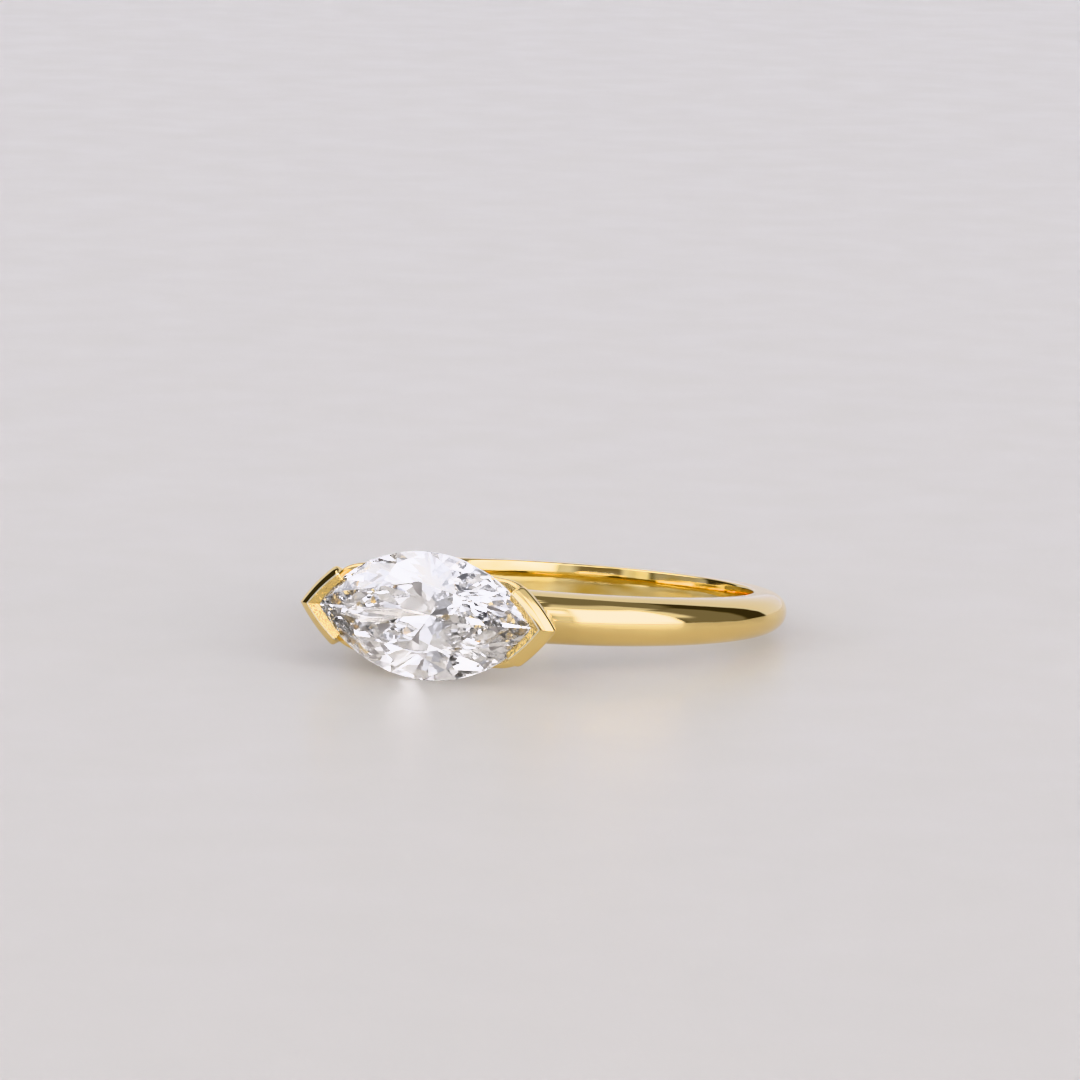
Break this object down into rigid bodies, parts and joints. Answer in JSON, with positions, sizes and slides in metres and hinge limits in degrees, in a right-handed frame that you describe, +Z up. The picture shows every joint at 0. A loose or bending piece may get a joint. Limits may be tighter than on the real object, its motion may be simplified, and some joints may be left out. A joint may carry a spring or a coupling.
{
  "type": "finger ring with marquise stone",
  "caption": "Yellow gold finger ring with a marquise stone set across the finger between V-shaped end bezels.",
  "frame": {"origin": "on the surface that the ring lies on, under the middle of its box", "axes": "+Z up from the surface, +X along the stone's long axis, and the stone's table faces -Y"},
  "size_m": [0.0202, 0.0236, 0.0056],
  "materials": {
    "gold": "polished yellow gold",
    "stone": "clear faceted stone"
  },
  "bodies": {
    "root": {"gold_mount": "gold", "marquise_stone": "stone"}
  },
  "joints": []
}
